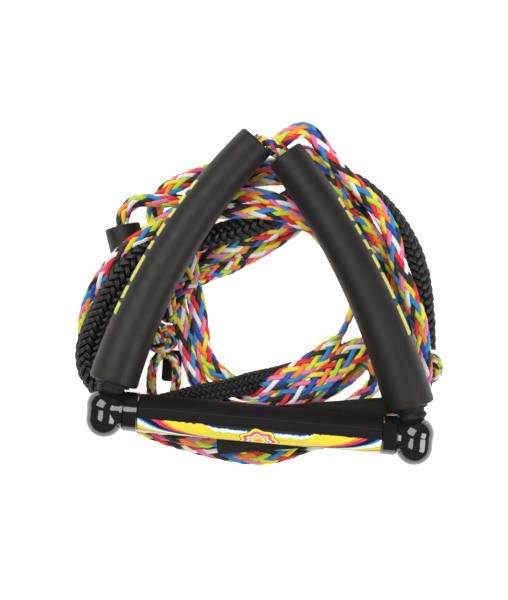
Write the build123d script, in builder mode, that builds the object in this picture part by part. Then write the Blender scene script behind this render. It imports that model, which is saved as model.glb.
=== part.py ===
"""Tow rope handle: a foam grip on a tube, two foam-covered bridle arms, and the coiled rope under it.

Millimetres. X runs along the grip, +Y points from the grip to the bridle's apex and +Z is up.
The origin is on the floor, below the middle of the handle.
"""
import os
from math import atan2, pi, tan

from build123d import *

# Handle bar
bar_y = -99.0
coil_height = 34.0
handle_rise = 20.0  # the bar's axis over the top of the coil
handle_z = coil_height + handle_rise
grip_length = 182.0
grip_diameter = 28.6
tube_diameter = 22.2
tube_wall = 1.6
tube_length = 206.0
bush_length = 12.0
bush_flange = 1.6

# Moulded end caps
collar_radius = 15.0
collar_edge = 1.2
collar_length = 12.0
waist_radius = 13.2
waist_slope = 2.0
bulb_radius = 14.0
bulb_shoulder = 6.0
bulb_offset = 116.5
bulb_top = 15.0
bulb_bottom = 21.0
bend_room = 7.6

# Bridle
bridle_rope = 9.6
rope_clearance = 0.4
exit_offset = 113.5
fold_height = 15.5
fold_gap = 2.4
bar_bend_radius = 8.5
left_apex = (-21.0, 112.0)
right_apex = (0.0, 104.0)
left_bow = 13.5
right_bow = 11.0
float_wide = 37.5
float_narrow = 29.0
left_float_start = 5.5
right_float_start = 7.4
float_edge = 1.6
bore_overrun = 0.7
stop_ring_diameter = 26.0
stop_ring_thickness = 2.2
leg_tail = 1.2
splice_drop = 4.0
splice_centre = (7.0, 124.0, handle_z - splice_drop)
splice_length = 26.0
splice_diameter = 11.6

# Coil of rope
coil_outer = [
    (124, 12), (96, 66), (42, 104), (-16, 99), (-58, 90), (-94, 54), (-124, 20), (-143, -15),
    (-149, -68), (-130, -95), (-69, -127), (5, -136), (40, -124), (94, -98), (131, -64), (132, -34),
]
coil_inner = [
    (54, 5), (37, 30), (14, 42), (-12, 26), (-40, 8), (-52, -3), (-50, -22), (-44, -44),
    (-36, -60), (-18, -64), (10, -55), (38, -40), (50, -24),
]

# Cords that run outside the coil
lead_diameter = 11.0
lead_route = [
    (18, 123.5, 48), (25, 117, 45), (32, 108.5, 41), (40, 100.5, 36.5), (48, 94, 33),
]
grab_diameter = 14.0
grab_route = [
    (120.5, -33, 15), (119, -10, 13), (114, 16, 12), (106, 41, 12), (92, 62, 13),
    (73, 79, 15), (50, 91, 18), (28, 88, 18.5), (10, 73, 18), (-10, 56, 18.5),
    (-34, 44, 21), (-62, 35, 26), (-84, 30, 30), (-101, 20, 34), (-112, 6, 35.3),
    (-121, -10, 34), (-129, -27, 29), (-135, -46, 24), (-138, -64, 21), (-130, -81, 22.5),
    (-113, -93, 24.2),
]
ribbed_diameter = 14.0
ribbed_route = [
    (-112.6, -93.2, 24.2), (-92, -97, 26.4), (-72, -92, 27.3), (-48, -83, 25), (-20, -75, 20),
    (8, -65, 14), (34, -55, 10), (52, -47, 9.3), (68, -38, 9.3),
]
trench_width = 18.0
lead_trench_width = 15.0
lead_trench_floor = 24.0
grab_trench_floor = 4.5
ribbed_trench_floor = 2.0
grab_knot_centre = (121.5, -45.0, 14.0)
grab_knot_radius = 14.0

# Boat end
boat_rope = 11.0
boat_float_diameter = 27.5
boat_float_length = 68.0
boat_float_top = (-120.0, 41.0)
boat_float_heading = (0.32, -0.947)
boat_float_travel = 7.0
boat_float_clearance = 0.3
boat_route_before = [
    (-76, 64, 24), (-91, 62, 24), (-104, 62.5, 21), (-113.5, 59.5, 18), (-119.3, 52, 15),
]
boat_straight_before = 2.6
boat_straight_after = 15.0
boat_trench_floor = 7.0
boat_trench_width = 13.0
boat_knot_centre = (-84.0, -43.0, 15.0)
boat_knot_radius = 11.5
loop_diameter = 8.0
loop_centre = (-77.0, -79.0, 15.0)
loop_length = 50.0
loop_width = 20.0
pocket_width = 38.0
pocket_floor = 2.0

# Hook and loop tie strap
strap_width = 34.0
strap_thickness = 1.6
strap_start = (-32.8, -110.2)
strap_end = (97.0, -88.5)
strap_corner = 3.0
patch_gap = 0.2
patch_length = 40.0
patch_width = 28.0
patch_thickness = 1.0
tail_outline = [(-79, -54), (-69, -51), (-62, -67), (-68, -73), (-80, -78)]
tail_corner = 2.5

os.makedirs("parts", exist_ok=True)


def save(part, name):
    """Label one finished piece and write its STEP file."""
    part.label = name
    export_step(part, f"parts/{name}.step")


def corner_radii(points):
    """The largest arc that each corner's two runs allow."""
    vectors = [Vector(*point) for point in points]
    radii = []
    for before, corner, after in zip(vectors, vectors[1:], vectors[2:]):
        run_in = corner - before
        run_out = after - corner
        turn = atan2(run_in.cross(run_out).length, run_in.dot(run_out))
        radii.append(0.45 * min(run_in.length, run_out.length) / tan(turn / 2))
    return radii


def rope_tube(points, diameter, name):
    """A round rope along straight runs joined by tangent arcs."""
    with BuildPart() as rope:
        with BuildLine() as route:
            FilletPolyline(*points, radius=corner_radii(points))
        path = route.wires()[0]
        with BuildSketch(Plane(path @ 0, z_dir=path % 0)):
            Circle(diameter / 2)
        sweep(path=path)
    full = pi * diameter**2 / 4 * path.length
    print(name, f"length {path.length:.0f}, smallest bend {min(corner_radii(points)):.0f},")
    print(f"    volume over section times length {rope.part.volume / full:.3f}")
    save(rope.part, name)
    return rope


def bar_plane(along):
    """A plane across the bar at this distance along it, seen from the +X end."""
    return Plane((along, bar_y, handle_z), x_dir=(0, 1, 0), z_dir=(1, 0, 0))


def bar_ring(outer, inner, start, end, edge=0.0):
    """A tube on the bar's axis between two places along it."""
    with BuildPart() as ring:
        with BuildSketch(bar_plane(start)):
            Circle(outer / 2)
            Circle(inner / 2, mode=Mode.SUBTRACT)
        extrude(amount=end - start)
        if edge:
            rims = ring.edges().filter_by(GeomType.CIRCLE).group_by(SortBy.RADIUS)[-1]
            fillet(rims, edge)
    return ring


# Tube, grip and bushes
tube_bore = tube_diameter - 2 * tube_wall
save(bar_ring(tube_diameter, tube_bore, -tube_length / 2, tube_length / 2).part, "core_tube")
save(bar_ring(grip_diameter, tube_diameter, -grip_length / 2, grip_length / 2, 0.8).part, "grip_sleeve")

for side, side_name in ((-1, "left"), (1, "right")):
    mouth = side * tube_length / 2
    inside = side * (tube_length / 2 - bush_length)
    with BuildPart() as bush:
        with BuildSketch(bar_plane(min(mouth, inside))):
            Circle(tube_bore / 2)
            Circle((bridle_rope + rope_clearance) / 2, mode=Mode.SUBTRACT)
        extrude(amount=bush_length)
        with BuildSketch(bar_plane(min(mouth, mouth + side * bush_flange))):
            Circle(tube_diameter / 2)
            Circle((bridle_rope + rope_clearance) / 2, mode=Mode.SUBTRACT)
        extrude(amount=bush_flange)
    save(bush.part, f"tube_bush_{side_name}")

# End caps: a collar over the tube, a waist, and a bulb that the rope turns through
collar_start = grip_length / 2
collar_end = collar_start + collar_length
socket_end = tube_length / 2 + bush_flange
for side, side_name in ((-1, "left"), (1, "right")):
    bulb_plane = Plane((side * bulb_offset, bar_y, handle_z), x_dir=(1, 0, 0), z_dir=(0, 0, 1))
    collar_plane = Plane((0, bar_y, handle_z), x_dir=(side, 0, 0), z_dir=(0, 0, 1))
    with BuildPart() as cap:
        with BuildSketch(bulb_plane):
            with BuildLine():
                Polyline((0, -bulb_bottom), (0, bulb_top), (bulb_shoulder, bulb_top))
                ThreePointArc(
                    (bulb_shoulder, bulb_top),
                    (bulb_shoulder + 0.8 * (bulb_radius - bulb_shoulder), bulb_top * 0.66),
                    (bulb_radius, 0),
                )
                Line((bulb_radius, 0), (bulb_radius, bulb_radius - bulb_bottom))
                RadiusArc((bulb_radius, bulb_radius - bulb_bottom), (0, -bulb_bottom), bulb_radius)
            make_face()
        revolve(axis=Axis((side * bulb_offset, bar_y, handle_z), (0, 1, 0)))
        with BuildSketch(collar_plane):
            with BuildLine():
                Polyline(
                    (collar_start, 0),
                    (collar_start, collar_radius - collar_edge),
                    (collar_start + collar_edge, collar_radius),
                    (collar_end - collar_edge, collar_radius),
                    (collar_end, collar_radius - collar_edge),
                    (collar_end + waist_slope, waist_radius),
                    (bulb_offset, waist_radius),
                    (bulb_offset, 0),
                    close=True,
                )
            make_face()
        revolve(axis=Axis((0, bar_y, handle_z), (1, 0, 0)))
        # Socket for the tube and its bush, then room for the rope's bend and its way out
        with BuildSketch(bar_plane(min(side * collar_start, side * socket_end))):
            Circle(tube_diameter / 2)
        extrude(amount=socket_end - collar_start, mode=Mode.SUBTRACT)
        with BuildSketch(bar_plane(min(side * socket_end, side * exit_offset))):
            Circle(bend_room)
        extrude(amount=exit_offset - socket_end, mode=Mode.SUBTRACT)
        with Locations((side * exit_offset, bar_y, handle_z)):
            Sphere(bend_room, mode=Mode.SUBTRACT)
        with BuildSketch(Plane((side * exit_offset, bar_y, handle_z), z_dir=(0, 1, 0))):
            Circle((bridle_rope + rope_clearance) / 2)
        extrude(amount=bulb_top + 2, mode=Mode.SUBTRACT)
    save(cap.part, f"end_cap_{side_name}")

# The rope inside the bar
fold_y = bar_y + fold_height
with BuildPart() as bar_rope:
    with BuildLine() as bar_route:
        FilletPolyline(
            (-exit_offset, fold_y - fold_gap, handle_z),
            (-exit_offset, bar_y, handle_z),
            (exit_offset, bar_y, handle_z),
            (exit_offset, fold_y - fold_gap, handle_z),
            radius=bar_bend_radius,
        )
    bar_path = bar_route.wires()[0]
    with BuildSketch(Plane(bar_path @ 0, z_dir=bar_path % 0)):
        Circle(bridle_rope / 2)
    sweep(path=bar_path)
save(bar_rope.part, "bridle_bar_rope")


def arm(side_name, side, apex, bow, float_start):
    """One bridle arm: the leg of rope, its foam float and the stop ring next to the end cap."""
    foot = Vector(side * exit_offset, fold_y, handle_z)
    head = Vector(apex[0], apex[1], handle_z)
    chord = head - foot
    outward = Vector(side * chord.Y, -side * chord.X, 0).normalized()
    middle = (foot + head) * 0.5 + outward * bow
    radius = (chord.length**2 / 4 + bow**2) / (2 * bow)
    centre = middle - outward * radius
    with BuildLine() as axis_line:
        ThreePointArc(foot, middle, head)
    axis_arc = axis_line.edges()[0]
    length = axis_arc.length

    def on_arc(point, turn):
        """The point moved round the arm's circle by this many degrees."""
        return centre + (point - centre).rotate(Axis.Z, turn)

    def across(distance):
        place = distance / length
        return Plane(axis_arc @ place, z_dir=axis_arc % place)

    def tapered(distance):
        share = (distance - float_start) / (length - float_start)
        return (float_wide + (float_narrow - float_wide) * share) / 2

    with BuildPart() as leg:
        with BuildLine() as leg_line:
            start = axis_arc @ (fold_gap / length)
            ThreePointArc(start, axis_arc @ 0.5, head)
        leg_path = leg_line.edges()[0]
        with BuildSketch(Plane(leg_path @ 0, z_dir=leg_path % 0)):
            Circle(bridle_rope / 2)
        sweep(path=leg_path)
        with BuildSketch(across(length)):
            Circle(bridle_rope / 2)
        extrude(amount=leg_tail)
    save(leg.part, f"bridle_leg_{side_name}")

    with BuildPart() as foam:
        # A long tapered body between two short bevelled ends
        rounded_start = float_start + float_edge
        rounded_end = length - float_edge
        steps = 6
        body = [rounded_start + (rounded_end - rounded_start) * step / steps for step in range(steps + 1)]
        for distances in ([float_start, rounded_start], body, [rounded_end, length]):
            for distance in distances:
                bevel = float_edge if distance in (float_start, length) else 0
                with BuildSketch(across(distance)):
                    Circle(tapered(distance) - bevel)
            loft()
        with BuildLine() as bore_line:
            ThreePointArc(on_arc(foot, -side * bore_overrun), middle, on_arc(head, side * bore_overrun))
        bore_path = bore_line.edges()[0]
        with BuildSketch(Plane(bore_path @ 0, z_dir=bore_path % 0)):
            Circle((bridle_rope + rope_clearance) / 2)
        sweep(path=bore_path, mode=Mode.SUBTRACT)
    save(foam.part, f"arm_float_{side_name}")

    with BuildPart() as ring:
        with BuildSketch(across(float_start)):
            Circle(stop_ring_diameter / 2)
            Circle((bridle_rope + rope_clearance) / 2, mode=Mode.SUBTRACT)
        extrude(amount=-stop_ring_thickness)
    save(ring.part, f"stop_ring_{side_name}")


arm("left", -1, left_apex, left_bow, left_float_start)
arm("right", 1, right_apex, right_bow, right_float_start)

# The splice where both legs join the main rope
with BuildPart() as splice:
    with BuildSketch(Plane(splice_centre, x_dir=(1, 0, 0), z_dir=(0, 0, 1))):
        SlotCenterToCenter(splice_length - splice_diameter, splice_diameter)
        Rectangle(splice_length, splice_diameter / 2, align=(Align.CENTER, Align.MAX), mode=Mode.SUBTRACT)
    revolve(axis=Axis(splice_centre, (1, 0, 0)))
save(splice.part, "bridle_splice")

rope_tube(lead_route, lead_diameter, "rope_lead")
rope_tube(grab_route, grab_diameter, "grab_rope")
rope_tube(ribbed_route, ribbed_diameter, "ribbed_rope")

with BuildPart() as grab_knot:
    with Locations(grab_knot_centre):
        Sphere(grab_knot_radius)
save(grab_knot.part, "grab_knot")

# Boat end: float, rope, knot and loop
heading = Vector(*boat_float_heading, 0).normalized()
float_axis_z = boat_float_diameter / 2
float_top = Vector(*boat_float_top, float_axis_z)
float_bottom = float_top + heading * boat_float_length
with BuildPart() as boat_float:
    with BuildSketch(Plane(float_top, z_dir=heading)):
        Circle(boat_float_diameter / 2)
        Circle(boat_rope / 2 + boat_float_clearance, mode=Mode.SUBTRACT)
    extrude(amount=boat_float_length)
    fillet(boat_float.edges().filter_by(GeomType.CIRCLE).group_by(SortBy.RADIUS)[-1], float_edge)
save(boat_float.part, "boat_end_float")

boat_route = boat_route_before + [
    tuple(float_top - heading * boat_straight_before),
    tuple(float_bottom + heading * boat_straight_after),
]
rope_tube(boat_route, boat_rope, "boat_end_rope")

with BuildPart() as boat_knot:
    with Locations(boat_knot_centre):
        Sphere(boat_knot_radius)
save(boat_knot.part, "boat_end_knot")

with BuildPart() as boat_loop:
    with BuildLine() as loop_line:
        half = loop_length / 2 - loop_width / 2
        side_x = loop_width / 2
        centre = Vector(*loop_centre)
        Line(centre + Vector(-side_x, half), centre + Vector(-side_x, -half))
        ThreePointArc(
            centre + Vector(-side_x, -half), centre + Vector(0, -half - side_x), centre + Vector(side_x, -half)
        )
        Line(centre + Vector(side_x, -half), centre + Vector(side_x, half))
        ThreePointArc(
            centre + Vector(side_x, half), centre + Vector(0, half + side_x), centre + Vector(-side_x, half)
        )
    with BuildSketch(Plane(centre + Vector(-side_x, half), z_dir=(0, -1, 0))):
        Circle(loop_diameter / 2)
    sweep(path=loop_line.wires()[0])
save(boat_loop.part, "boat_end_loop")


# The coil: a ring with trenches and pockets for what runs through it
def seen_from_above(points):
    """The points without their heights."""
    return [tuple(point)[:2] for point in points]


channel_end = float_bottom + heading * (boat_float_travel + 1)
rope_room_end = float_bottom + heading * (boat_straight_after + 4)
pocket_head = Vector(*boat_knot_centre) + Vector(0, boat_knot_radius + 1)
pocket_foot = Vector(*loop_centre) - Vector(0, loop_length / 2 + loop_diameter)
trenches = [
    (seen_from_above(lead_route[2:]), lead_trench_width, lead_trench_floor),
    (seen_from_above(grab_route), trench_width, grab_trench_floor),
    (seen_from_above(ribbed_route), trench_width, ribbed_trench_floor),
    (seen_from_above(boat_route[:-1]), boat_trench_width, boat_trench_floor),
    (seen_from_above([float_top - heading * 20, channel_end]), boat_float_diameter + 2, 0),
    (seen_from_above([channel_end, rope_room_end]), boat_trench_width, pocket_floor),
    (seen_from_above([pocket_head, pocket_foot]), pocket_width, pocket_floor),
]
with BuildPart() as coil:
    with BuildSketch():
        with BuildLine():
            Spline(*coil_outer, periodic=True)
        make_face()
    extrude(amount=coil_height)
    with BuildSketch():
        with BuildLine():
            Spline(*coil_inner, periodic=True)
        make_face()
    extrude(amount=coil_height, mode=Mode.SUBTRACT)
    for points, width, floor in trenches:
        with BuildSketch(Plane.XY.offset(floor)):
            with BuildLine():
                Polyline(*points)
            trace(line_width=width)
            if len(points) > 2:
                with Locations(*points):
                    Circle(width / 2)
        extrude(amount=coil_height, mode=Mode.SUBTRACT)
    with Locations((*grab_knot_centre[:2], grab_knot_centre[2] + coil_height / 2)):
        Cylinder(grab_knot_radius + 0.5, coil_height, mode=Mode.SUBTRACT)
    with Locations(grab_knot_centre):
        Sphere(grab_knot_radius + 0.5, mode=Mode.SUBTRACT)
save(coil.part, "rope_coil")

# Tie strap with its hook patch, and the strap's tail on the other side of the coil
strap_line = Vector(*strap_end) - Vector(*strap_start)
patch_z = coil_height + patch_gap
strap_x = (strap_line.X, strap_line.Y, 0)
with BuildPart() as patch:
    with BuildSketch(Plane((*strap_start, patch_z), x_dir=strap_x, z_dir=(0, 0, 1))):
        with Locations((patch_length / 2 + strap_corner, 0)):
            Rectangle(patch_length, patch_width)
    extrude(amount=patch_thickness)
save(patch.part, "strap_hook_patch")

with BuildPart() as strap:
    with BuildSketch(Plane((*strap_start, patch_z + patch_thickness), x_dir=strap_x, z_dir=(0, 0, 1))):
        Rectangle(strap_line.length, strap_width, align=(Align.MIN, Align.CENTER))
    extrude(amount=strap_thickness)
    fillet(strap.edges().filter_by(Axis.Z), strap_corner)
save(strap.part, "tie_strap")

with BuildPart() as tail:
    with BuildSketch(Plane.XY.offset(pocket_floor)):
        Polygon(*tail_outline, align=None)
    extrude(amount=strap_thickness)
    fillet(tail.edges().filter_by(Axis.Z), tail_corner)
save(tail.part, "strap_tail")
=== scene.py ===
"""Tow rope handle: a foam grip, two bridle arms in foam floats, and the rope coiled under them.

Metres, in the CAD frame: X runs along the grip, +Y from the grip to the bridle's apex, +Z is up.
"""

from math import asin, atan2, cos, e, pi, radians, sin

import bmesh
import bpy
import numpy as np
from mathutils import Matrix, Vector


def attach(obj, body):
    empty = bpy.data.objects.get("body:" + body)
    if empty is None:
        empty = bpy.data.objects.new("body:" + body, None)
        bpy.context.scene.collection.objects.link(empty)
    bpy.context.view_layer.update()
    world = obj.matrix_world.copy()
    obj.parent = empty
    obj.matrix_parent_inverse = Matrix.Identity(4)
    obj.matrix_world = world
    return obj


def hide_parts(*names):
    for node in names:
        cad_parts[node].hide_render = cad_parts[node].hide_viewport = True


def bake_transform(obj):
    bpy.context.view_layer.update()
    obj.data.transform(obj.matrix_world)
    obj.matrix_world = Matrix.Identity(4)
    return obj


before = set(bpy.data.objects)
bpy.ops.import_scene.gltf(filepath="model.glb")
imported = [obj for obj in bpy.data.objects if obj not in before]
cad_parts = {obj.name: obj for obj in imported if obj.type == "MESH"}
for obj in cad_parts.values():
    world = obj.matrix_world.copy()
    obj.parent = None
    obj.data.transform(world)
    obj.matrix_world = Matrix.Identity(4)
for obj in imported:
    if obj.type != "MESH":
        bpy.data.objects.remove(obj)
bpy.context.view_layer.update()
scene = bpy.context.scene
random = np.random.default_rng(7)
up = np.array([0.0, 0.0, 1.0])

# Camera: straight above, turned so that the grip slopes as it does in the photograph
camera_data = bpy.data.cameras.new("camera")
camera_data.lens = 90
camera = bpy.data.objects.new("camera", camera_data)
camera.location = (-0.0128, -0.0072, 1.179)
camera.rotation_euler = (0, 0, radians(5.15))
scene.collection.objects.link(camera)
scene.camera = camera
scene.view_settings.view_transform = "Standard"

# Cord routes. Each stretch is its width, thickness, roll in degrees, and its points.
main_stretches = [
    # Hump over the bridle's apex and the lead down to the coil
    (0.0130, 0.0105, 0, [
        (-0.010, 0.1040, 0.0440), (-0.0065, 0.1110, 0.0480), (0.001, 0.1180, 0.0515),
        (0.010, 0.1235, 0.0520), (0.018, 0.1235, 0.0480), (0.025, 0.117, 0.045), (0.032, 0.1085, 0.041),
        (0.040, 0.1005, 0.0365), (0.048, 0.094, 0.033),
    ]),
    # Outer turn down the right side, beside and over the black braid
    (0.0145, 0.0090, 0, [
        (0.063, 0.082, 0.029), (0.075, 0.072, 0.027), (0.083, 0.062, 0.0255), (0.090, 0.050, 0.024),
        (0.0925, 0.039, 0.0235), (0.0970, 0.027, 0.0235), (0.1035, 0.013, 0.025), (0.1095, 0.001, 0.0265),
        (0.1150, -0.012, 0.0275), (0.1180, -0.026, 0.029), (0.1200, -0.040, 0.0310),
        (0.1225, -0.055, 0.0290), (0.1215, -0.070, 0.0260), (0.112, -0.084, 0.0240), (0.092, -0.097, 0.020),
        (0.062, -0.107, 0.013),
    ]),
    # Along the bottom, outermost
    (0.0150, 0.0085, 0, [
        (0.036, -0.116, 0.008), (0.021, -0.124, 0.005), (0.004, -0.1290, 0.0045), (-0.020, -0.128, 0.0045),
        (-0.043, -0.125, 0.0045), (-0.069, -0.120, 0.0045), (-0.089, -0.114, 0.005),
        (-0.107, -0.104, 0.005), (-0.123, -0.089, 0.005),
    ]),
    # Up the left side, over the boat-end float
    (0.0135, 0.0085, 0, [
        (-0.135, -0.071, 0.005), (-0.141, -0.050, 0.007), (-0.142, -0.035, 0.011), (-0.139, -0.022, 0.017),
        (-0.135, -0.010, 0.0225), (-0.129, 0.001, 0.027), (-0.121, 0.013, 0.031), (-0.111, 0.025, 0.033),
        (-0.099, 0.036, 0.0335), (-0.088, 0.045, 0.033), (-0.078, 0.053, 0.0325), (-0.066, 0.058, 0.0315),
        (-0.053, 0.059, 0.0300),
    ]),
    # Across the gap between the arms, lowest of the upper three
    (0.0135, 0.0085, 0, [
        (-0.040, 0.0585, 0.0295), (-0.026, 0.060, 0.0295), (-0.013, 0.061, 0.0300), (0.005, 0.0600, 0.0295),
        (0.017, 0.056, 0.028), (0.035, 0.051, 0.024), (0.054, 0.045, 0.018),
    ]),
    # Down inside the right arm
    (0.0125, 0.0085, 0, [
        (0.072, 0.040, 0.014), (0.081, 0.034, 0.0135), (0.089, 0.027, 0.012), (0.093, 0.018, 0.009),
        (0.096, 0.008, 0.007), (0.095, -0.006, 0.0065), (0.092, -0.019, 0.009), (0.084, -0.030, 0.015),
    ]),
    # Opened flat over the ribbed braid
    (0.0200, 0.0060, 0, [
        (0.073, -0.037, 0.0200), (0.062, -0.046, 0.0210), (0.049, -0.058, 0.0210), (0.035, -0.069, 0.0200),
        (0.021, -0.080, 0.019),
    ]),
    # Left under the grip and up the inside of the left arm
    (0.0135, 0.0085, 0, [
        (0.001, -0.091, 0.017), (-0.022, -0.094, 0.015), (-0.039, -0.086, 0.0135), (-0.051, -0.075, 0.0135),
        (-0.057, -0.062, 0.0135), (-0.063, -0.046, 0.0135), (-0.069, -0.027, 0.0135),
        (-0.074, -0.007, 0.0135), (-0.076, 0.011, 0.013), (-0.073, 0.030, 0.013), (-0.062, 0.049, 0.0145),
        (-0.045, 0.066, 0.021),
    ]),
    # Across the gap again, in the middle
    (0.0135, 0.0085, 0, [
        (-0.027, 0.073, 0.0275), (-0.014, 0.0725, 0.0295), (-0.001, 0.070, 0.0300), (0.009, 0.065, 0.0280),
        (0.028, 0.054, 0.0190), (0.048, 0.034, 0.012), (0.061, 0.013, 0.008),
    ]),
    # A short stretch on edge beside the right arm
    (0.0095, 0.0060, 80, [
        (0.0650, -0.004, 0.0065), (0.0615, -0.017, 0.0085), (0.0560, -0.030, 0.0150),
    ]),
    # Over the ribbed braid, beside the opened stretch
    (0.0155, 0.0080, 0, [
        (0.049, -0.041, 0.0205), (0.034, -0.052, 0.0220), (0.020, -0.062, 0.0235), (0.005, -0.072, 0.0200),
        (-0.007, -0.079, 0.0130),
    ]),
    # Under the ribbed braid and up the left side of the opening
    (0.0150, 0.0085, 0, [
        (-0.019, -0.0785, 0.008), (-0.031, -0.070, 0.0055), (-0.043, -0.062, 0.0065),
        (-0.049, -0.050, 0.010), (-0.0525, -0.037, 0.013), (-0.056, -0.016, 0.0155),
        (-0.062, 0.002, 0.0175), (-0.066, 0.019, 0.0180), (-0.063, 0.038, 0.0165), (-0.052, 0.058, 0.0160),
        (-0.037, 0.078, 0.0165),
    ]),
    # Across the gap, uppermost, then under the right arm's top
    (0.0130, 0.0085, 0, [
        (-0.020, 0.087, 0.0165), (-0.006, 0.0885, 0.0195), (0.010, 0.0900, 0.0270), (0.024, 0.089, 0.0300),
    ]),
    # Down beside the right arm
    (0.0135, 0.0085, 0, [
        (0.037, 0.085, 0.0280), (0.048, 0.080, 0.0220), (0.058, 0.073, 0.0140), (0.066, 0.064, 0.0075),
        (0.073, 0.053, 0.0045), (0.079, 0.042, 0.0045), (0.084, 0.024, 0.0045), (0.0865, 0.003, 0.0045),
        (0.087, -0.018, 0.0045),
    ]),
    # Lower right, against the grip
    (0.0135, 0.0085, 0, [
        (0.082, -0.037, 0.0045), (0.073, -0.053, 0.0060), (0.059, -0.066, 0.0075), (0.042, -0.0780, 0.0070),
        (0.018, -0.090, 0.0055), (-0.010, -0.097, 0.0045), (-0.036, -0.090, 0.0045),
        (-0.050, -0.077, 0.0045), (-0.057, -0.061, 0.0045), (-0.063, -0.045, 0.0045),
        (-0.069, -0.026, 0.0045), (-0.074, -0.007, 0.0045), (-0.069, 0.010, 0.0065),
    ]),
    # The broad upper one of the pair inside the gap
    (0.0165, 0.0080, 0, [
        (-0.055, 0.0235, 0.011), (-0.044, 0.028, 0.014), (-0.033, 0.034, 0.0150), (-0.020, 0.041, 0.0150),
        (-0.006, 0.048, 0.0145), (0.009, 0.056, 0.0140), (0.024, 0.064, 0.0145), (0.040, 0.067, 0.0180),
    ]),
    # Down the right side to the knot
    (0.0125, 0.0085, 0, [
        (0.055, 0.064, 0.0210), (0.064, 0.059, 0.0200), (0.075, 0.050, 0.0175), (0.085, 0.041, 0.0165),
        (0.094, 0.032, 0.0155), (0.101, 0.022, 0.0140), (0.105, 0.011, 0.0110), (0.107, -0.001, 0.0075),
        (0.108, -0.014, 0.0055), (0.110, -0.027, 0.0065), (0.115, -0.038, 0.0100),
    ]),
]
boat_stretches = [
    # Out of the ribbed braid's end, under the right arm and back under the grip
    (0.0130, 0.0085, 0, [
        (0.068, -0.038, 0.0093), (0.074, -0.042, 0.0110), (0.083, -0.048, 0.0140), (0.089, -0.056, 0.0130),
        (0.086, -0.066, 0.0100), (0.076, -0.077, 0.007), (0.057, -0.0925, 0.0060), (0.030, -0.1050, 0.0060),
        (0.0, -0.114, 0.0090),
    ]),
    # Along the bottom, over the outermost turn
    (0.0150, 0.0085, 0, [
        (-0.030, -0.1180, 0.0125), (-0.058, -0.117, 0.0135), (-0.080, -0.1130, 0.0135),
        (-0.097, -0.107, 0.0125), (-0.112, -0.097, 0.0090), (-0.120, -0.081, 0.0060),
        (-0.119, -0.064, 0.0090), (-0.113, -0.051, 0.0200), (-0.104, -0.040, 0.0310),
        (-0.093, -0.028, 0.0350), (-0.084, -0.015, 0.0310), (-0.076, -0.001, 0.0230),
    ]),
    # The lower one of the pair inside the gap, and round under the right arm
    (0.0140, 0.0080, 0, [
        (-0.063, 0.0115, 0.0130), (-0.048, 0.0150, 0.0080), (-0.035, 0.0190, 0.0055),
        (-0.022, 0.0260, 0.0050), (-0.010, 0.0340, 0.0050), (0.002, 0.0430, 0.0050),
        (0.014, 0.0530, 0.0050), (0.025, 0.0640, 0.0050), (0.033, 0.0760, 0.0055), (0.035, 0.0890, 0.0060),
        (0.029, 0.0990, 0.0070), (0.016, 0.1010, 0.0080), (-0.003, 0.0970, 0.0100),
        (-0.024, 0.0970, 0.0150), (-0.043, 0.0940, 0.0215),
    ]),
    # Out on the left, back in a small loop, and round into the boat-end float
    (0.0135, 0.0085, 0, [
        (-0.058, 0.0870, 0.0260), (-0.072, 0.0810, 0.0250), (-0.085, 0.0740, 0.0195),
        (-0.094, 0.0640, 0.0130), (-0.097, 0.0530, 0.0080), (-0.093, 0.0420, 0.0050),
        (-0.083, 0.0370, 0.0050), (-0.070, 0.0400, 0.0060), (-0.062, 0.0500, 0.0130),
        (-0.066, 0.0600, 0.0210),
    ]),
    (0.0112, 0.0110, 0, [
        (-0.076, 0.0640, 0.0240), (-0.091, 0.0620, 0.0240), (-0.104, 0.0625, 0.0210),
        (-0.1135, 0.0595, 0.0180), (-0.1193, 0.0520, 0.0150), (-0.1208, 0.0435, 0.01375),
        (-0.1150, 0.0262, 0.01375), (-0.1060, -0.0005, 0.01375), (-0.0965, -0.0285, 0.01375),
        (-0.0935, -0.0376, 0.01375),
    ]),
]
grab_stretches = [
    (0.0205, 0.0140, 0, [
        (0.1205, -0.033, 0.015), (0.119, -0.010, 0.013), (0.114, 0.016, 0.012), (0.106, 0.041, 0.012),
        (0.092, 0.062, 0.013), (0.073, 0.079, 0.015), (0.050, 0.091, 0.018), (0.028, 0.088, 0.0185),
        (0.010, 0.073, 0.018), (-0.010, 0.056, 0.0185), (-0.034, 0.044, 0.021), (-0.062, 0.035, 0.026),
        (-0.084, 0.030, 0.030), (-0.101, 0.020, 0.034), (-0.112, 0.006, 0.0353), (-0.121, -0.010, 0.034),
        (-0.129, -0.027, 0.029), (-0.135, -0.046, 0.024), (-0.138, -0.064, 0.021), (-0.130, -0.081, 0.0225),
        (-0.113, -0.093, 0.0242),
    ]),
]
ribbed_stretches = [
    (0.0165, 0.0135, 0, [
        (-0.1126, -0.0932, 0.0242), (-0.092, -0.097, 0.0264), (-0.072, -0.092, 0.0273),
        (-0.048, -0.083, 0.025), (-0.020, -0.075, 0.020), (0.008, -0.065, 0.014), (0.034, -0.055, 0.010),
        (0.052, -0.047, 0.0093), (0.068, -0.038, 0.0093),
    ]),
]
fringe_stretches = [
    (0.0125, 0.0085, 0, [
        (-0.077, -0.030, 0.019), (-0.075, -0.017, 0.021), (-0.069, -0.005, 0.0215), (-0.060, 0.004, 0.017),
        (-0.050, 0.0095, 0.0130), (-0.039, 0.0145, 0.0110), (-0.031, 0.0185, 0.0100),
        (-0.024, 0.0240, 0.0100),
    ]),
]


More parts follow.
